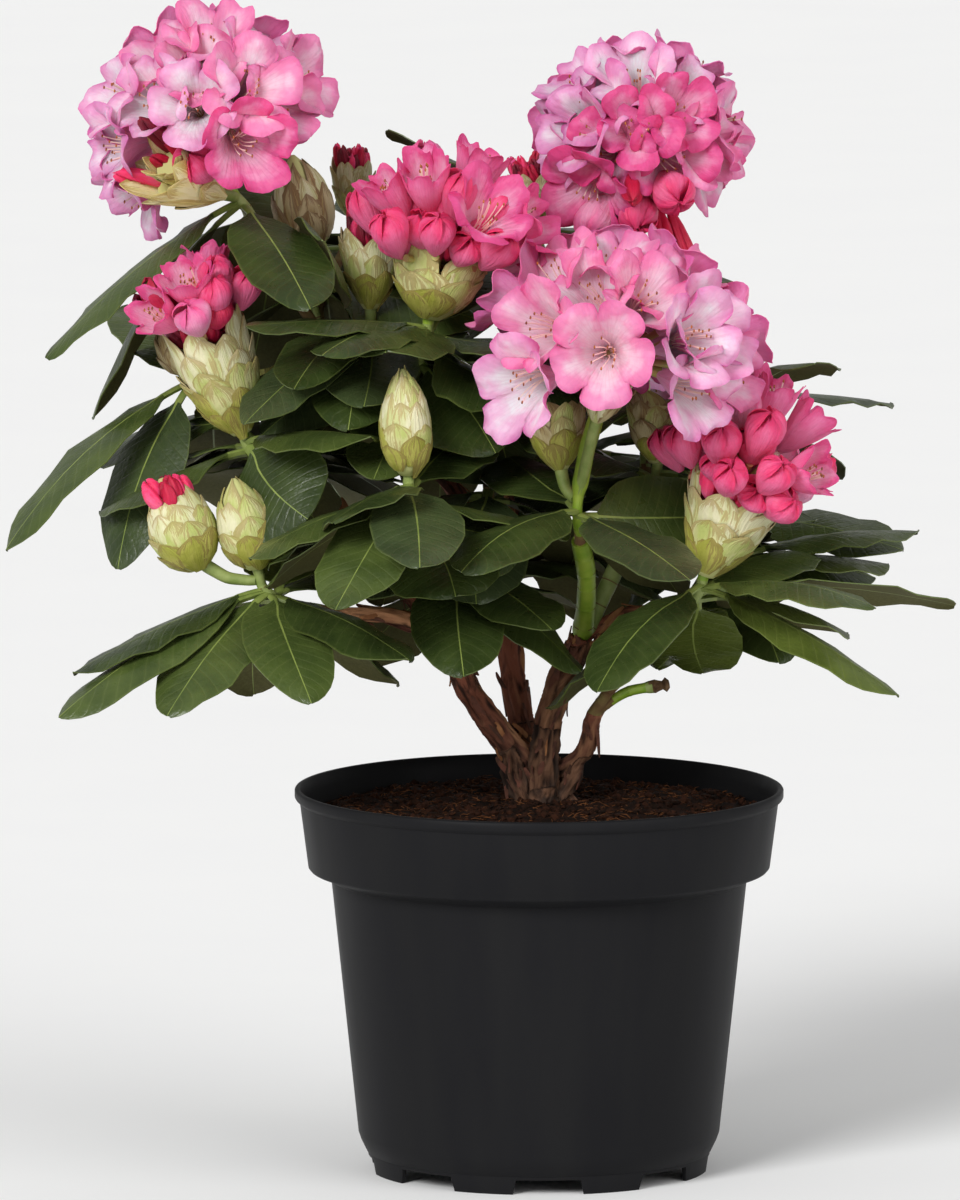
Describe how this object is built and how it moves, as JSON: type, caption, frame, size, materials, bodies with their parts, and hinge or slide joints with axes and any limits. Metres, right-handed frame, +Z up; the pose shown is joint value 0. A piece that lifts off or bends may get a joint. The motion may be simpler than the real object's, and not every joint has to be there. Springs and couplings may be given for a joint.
{
  "type": "potted rhododendron",
  "caption": "Flowering rhododendron shrub with woody boughs, whorls of leathery leaves, open and opening blossom heads and scaly buds, in a round black nursery pot filled with soil.",
  "frame": {"origin": "centre of the flat pad in the middle of the pot's underside, on the surface that the pot stands on", "axes": "+Z up, -Y towards the side that the picture shows, +X to that side's right"},
  "size_m": [0.4439, 0.3254, 0.5546],
  "materials": {
    "pot_plastic": "satin black moulded plastic",
    "soil": "moist dark peat with fibres",
    "bark": "thin flaking reddish brown bark",
    "green_stem": "smooth young green bark",
    "leaf": "leathery dark green with a soft sheen",
    "petal_pink": "soft thin petals",
    "petal_red": "soft folded petals",
    "bud_scale": "dry downy overlapping scales"
  },
  "bodies": {
    "root": {"pot": "pot_plastic", "soil": "soil", "trunk": "bark", "bough_left": "bark", "bough_middle": "bark", "bough_right": "bark", "bough_low_right": "bark", "limb_left_low": "bark", "limb_left_high": "bark", "limb_crown": "bark", "limb_crown_left": "bark", "limb_back": "bark", "limb_green_left": "green_stem", "limb_green_right": "green_stem", "limb_right": "bark", "limb_cut": "bark", "leaves_low_left": "leaf", "leaves_mid_left": "leaf", "leaves_far_left": "leaf", "leaves_centre": "leaf", "leaves_inner_left": "leaf", "leaves_inner_front": "leaf", "leaves_top_left": "leaf", "leaves_upper_left": "leaf", "leaves_upper_middle": "leaf", "leaves_behind_middle": "leaf", "leaves_back_top": "leaf", "leaves_mid_right": "leaf", "leaves_low_right": "leaf", "leaves_inner_right": "leaf", "leaves_outer_right": "leaf", "leaves_back_right": "leaf", "leaves_top_right": "leaf", "leaves_inner_middle": "leaf", "leaves_back_middle": "leaf", "leaves_back_left": "leaf", "leaves_back_top_left": "leaf", "leaves_back_low_right": "leaf", "leaves_back_low": "leaf", "flowers_top_left": "petal_pink", "flowers_top_right": "petal_pink", "flowers_right": "petal_pink", "flowers_back": "petal_pink", "flowers_middle": "petal_red", "flowers_low_right": "petal_red", "flowers_left": "petal_red", "bud_low_left_red": "bud_scale", "bud_low_left": "bud_scale", "bud_centre": "bud_scale", "bud_right": "bud_scale", "bud_inner_right": "bud_scale", "bud_upper_left": "bud_scale", "bud_behind_middle": "bud_scale", "bud_back_top_left": "bud_scale", "bud_far_left": "bud_scale", "bud_back_top": "bud_scale", "bud_back_middle": "bud_scale", "bud_back_left": "bud_scale", "bud_back_low_right": "bud_scale"}
  },
  "joints": []
}
